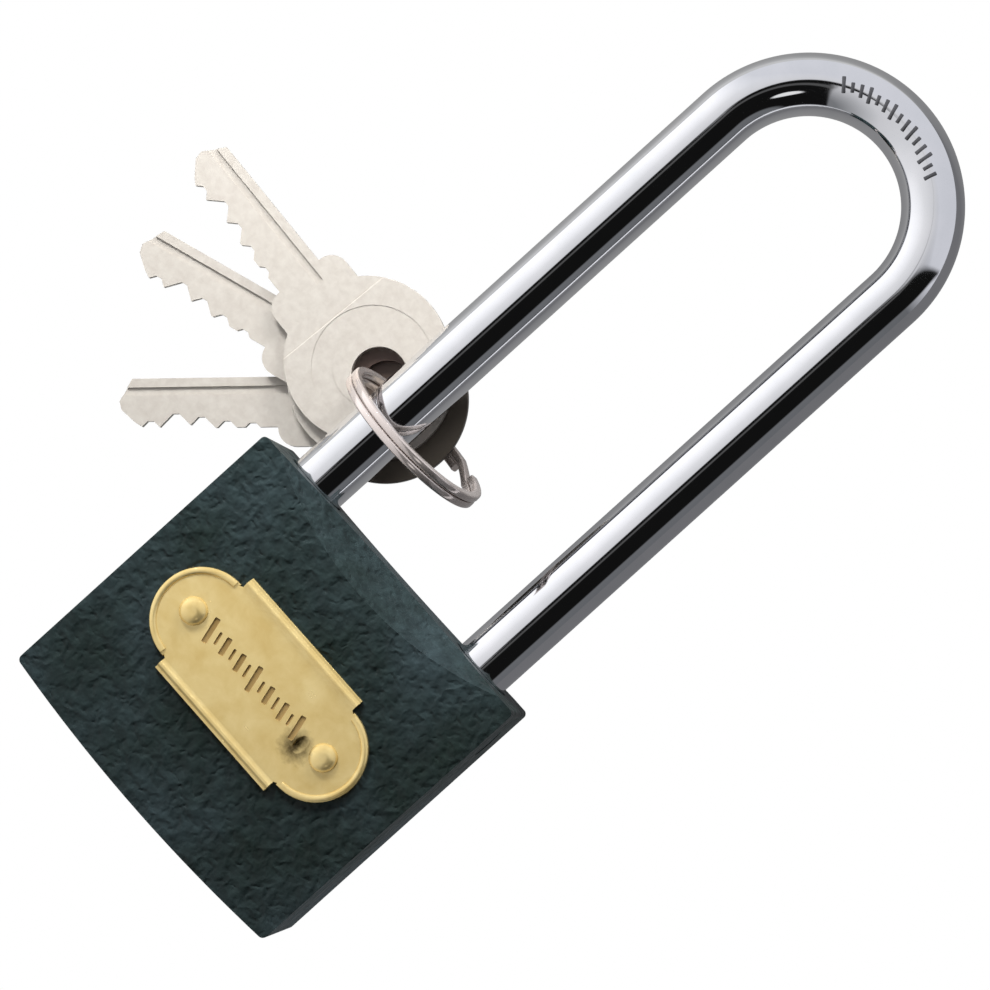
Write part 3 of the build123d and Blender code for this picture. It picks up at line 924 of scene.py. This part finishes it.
def studioWorld():
    # pale on the heel side, grey on the toe side, and a dark wedge overhead for the chrome's black band,
    # each edge given by the direction that a ray goes in
    settings = {
        "left": -0.095, "right": 0.90, "near": -0.07, "far": 0.105, "horizon": 0.05, "soft": 0.02,
        "nearSpread": 1.3, "farSpread": 0.4, "dark": 0.006,
        "streakFrom": 0.06, "streakTo": 0.16, "streak": 0.085,
        "windowAt": (0.53, -0.30, 0.79), "windowFrom": 0.9925, "windowTo": 0.996, "window": 0.85,
        "beyond": (0.70, 0.71, 0.76, 1), "beyondShare": 0.9, "beyondFrom": 0.10, "beyondTo": 0.36,
        "ambient": 0.16,
    }
    sky = (
        (0.0, (1.25, 1.25, 1.28)), (0.26, (0.84, 0.84, 0.86)), (0.5, (0.66, 0.66, 0.68)),
        (0.74, (0.20, 0.205, 0.215)), (1.0, (0.14, 0.145, 0.155)),
    )
    world = bpy.data.worlds.new("studio")
    bpy.context.scene.world = world
    world.use_nodes = True
    tree = world.node_tree
    back = tree.nodes["Background"]
    coords = tree.nodes.new("ShaderNodeTexCoord")
    split = tree.nodes.new("ShaderNodeSeparateXYZ")
    tree.links.new(coords.outputs["Generated"], split.inputs["Vector"])
    x, y, z = split.outputs

    def above(value, edge):
        return remap(tree, value, 0, 1, edge - settings["soft"], edge + settings["soft"])

    def below(value, edge):
        return remap(tree, value, 1, 0, edge - settings["soft"], edge + settings["soft"])

    def both(first, second):
        return calc(tree, "MULTIPLY", first, second)

    toeward = calc(tree, "MAXIMUM", x, 0.0)
    nearSide = above(calc(tree, "MULTIPLY_ADD", toeward, settings["nearSpread"], y), settings["near"])
    farSide = below(calc(tree, "MULTIPLY_ADD", toeward, -settings["farSpread"], y), settings["far"])
    sides = both(above(x, settings["left"]), below(x, settings["right"]))
    wedge = both(both(both(nearSide, farSide), sides), above(z, settings["horizon"]))
    streak = both(wedge, both(above(x, settings["streakFrom"]), below(x, settings["streakTo"])))
    dot = tree.nodes.new("ShaderNodeVectorMath")
    dot.operation = "DOT_PRODUCT"
    dot.inputs[1].default_value = Vector(settings["windowAt"]).normalized()
    tree.links.new(coords.outputs["Generated"], dot.inputs[0])
    window = remap(tree, dot.outputs["Value"], 0, 1, settings["windowFrom"], settings["windowTo"])

    shaded = ramp(tree, remap(tree, x, 0, 1, -1, 1), *sky)
    beyond = remap(tree, y, 0, settings["beyondShare"], settings["beyondFrom"], settings["beyondTo"])
    shaded = mixColours(tree, beyond, shaded, settings["beyond"])
    for share, level in (
        (wedge, settings["dark"]), (streak, settings["streak"]), (window, settings["window"]),
    ):
        shaded = mixColours(tree, share, shaded, (level, level, level, 1))
    tree.links.new(shaded, back.inputs["Color"])
    path = tree.nodes.new("ShaderNodeLightPath")
    strength = remap(tree, path.outputs["Is Diffuse Ray"], 1.0, settings["ambient"])
    tree.links.new(strength, back.inputs["Strength"])

    # plain white where the camera looks past everything
    plain = tree.nodes.new("ShaderNodeBackground")
    plain.inputs["Color"].default_value = (1, 1, 1, 1)
    seen = mixShaders(tree, path.outputs["Is Camera Ray"], back.outputs[0], plain.outputs[0])
    tree.links.new(seen, tree.nodes["World Output"].inputs["Surface"])


def paleFloor():
    # white where it is looked at; in what it gives back, a glowing mid grey with a painted shadow that
    # darkens it towards the toe side, and clear from below
    settings = {
        "size": 3.0, "below": 0.05 * mm, "seen": 1.0, "toDiffuse": 0.5,
        "heelSide": 0.62, "between": 0.34, "toeSide": 0.17, "shadeFrom": -0.09, "shadeTo": 0.03,
    }
    material, tree, shader = newNodes("paleFloor")
    split = tree.nodes.new("ShaderNodeSeparateXYZ")
    tree.links.new(objectCoords(tree), split.inputs["Vector"])
    # painted shadow of the lock: the glowing grey falls from the heel side to the toe side
    across = remap(tree, split.outputs["X"], 0, 1, settings["shadeFrom"], settings["shadeTo"])
    heel, between, toe = settings["heelSide"], settings["between"], settings["toeSide"]
    shade = ramp(tree, across, (0.0, (heel,) * 3), (0.5, (between,) * 3), (1.0, (toe, toe, toe * 1.05)))
    path = tree.nodes.new("ShaderNodeLightPath")
    weaker = remap(tree, path.outputs["Is Diffuse Ray"], 1.0, settings["toDiffuse"])
    given = feed(tree, tree.nodes.new("ShaderNodeEmission"), (shade, weaker))
    seen = feed(tree, tree.nodes.new("ShaderNodeEmission"), ((1, 1, 1, 1), settings["seen"]))
    lit = mixShaders(tree, path.outputs["Is Camera Ray"], given, seen)
    clear = tree.nodes.new("ShaderNodeBsdfTransparent")
    side = tree.nodes.new("ShaderNodeNewGeometry")
    oneSided = mixShaders(tree, side.outputs["Backfacing"], lit, clear.outputs["BSDF"])
    tree.links.new(oneSided, tree.nodes["Material Output"].inputs["Surface"])
    tree.nodes.remove(shader)
    bm = bmesh.new()
    bmesh.ops.create_grid(bm, x_segments=2, y_segments=2, size=settings["size"] / 2)
    bmesh.ops.translate(bm, verts=bm.verts, vec=(0, 0, -settings["below"]))
    floor = addObject("floor", meshFrom("floor", bm))
    floor.data.materials.append(material)


def studioLamps():
    settings = {
        "key": {
            "at": (-0.20, 0.12, 0.16), "aim": (-0.055, 0.055, 0.0),
            "power": 0.25, "size": 0.07, "spread": 75,
        },
        "top": {
            "at": (-0.06, 0.19, 0.10), "aim": (-0.01, 0.02, 0.01),
            "power": 0.20, "size": 0.08, "spread": 120,
        },
        "fill": {
            "at": (0.22, -0.30, 0.015), "aim": (0.0, 0.0, 0.01),
            "power": 0.55, "size": 0.10, "spread": 90,
        },
    }
    for name, chosen in settings.items():
        lamp = bpy.data.lights.new(name + "Lamp", "AREA")
        lamp.energy = chosen["power"]
        lamp.size = chosen["size"]
        lamp.spread = radians(chosen["spread"])
        item = addObject(name + "Lamp", lamp)
        item.location = chosen["at"]
        item.visible_glossy = False
        toward = Vector(chosen["aim"]) - item.location
        item.rotation_euler = toward.to_track_quat("-Z", "Y").to_euler()


def lookThrough():
    settings = {
        "aim": (0.5 * mm, 17.2 * mm, 11.5 * mm), "forward": (-0.1083, -0.0242, -0.9938),
        "up": (-0.7396, 0.67, 0.0643), "distance": 0.476, "lens": 127.3, "sensor": 36, "near": 0.01,
    }
    data = bpy.data.cameras.new("camera")
    data.lens = settings["lens"]
    data.sensor_width = settings["sensor"]
    data.clip_start = settings["near"]
    camera = addObject("camera", data)
    forward = Vector(settings["forward"]).normalized()
    right = forward.cross(Vector(settings["up"])).normalized()
    turn = Matrix((right, right.cross(forward), -forward)).transposed().to_4x4()
    aim = Vector(settings["aim"]) + Vector((0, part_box("body")[1][1], 0))
    camera.matrix_world = Matrix.Translation(aim - forward * settings["distance"]) @ turn
    bpy.context.scene.camera = camera
    bpy.context.scene.view_settings.view_transform = "Standard"


studioWorld()
paleFloor()
studioLamps()
lookThrough()
print("studio ready")
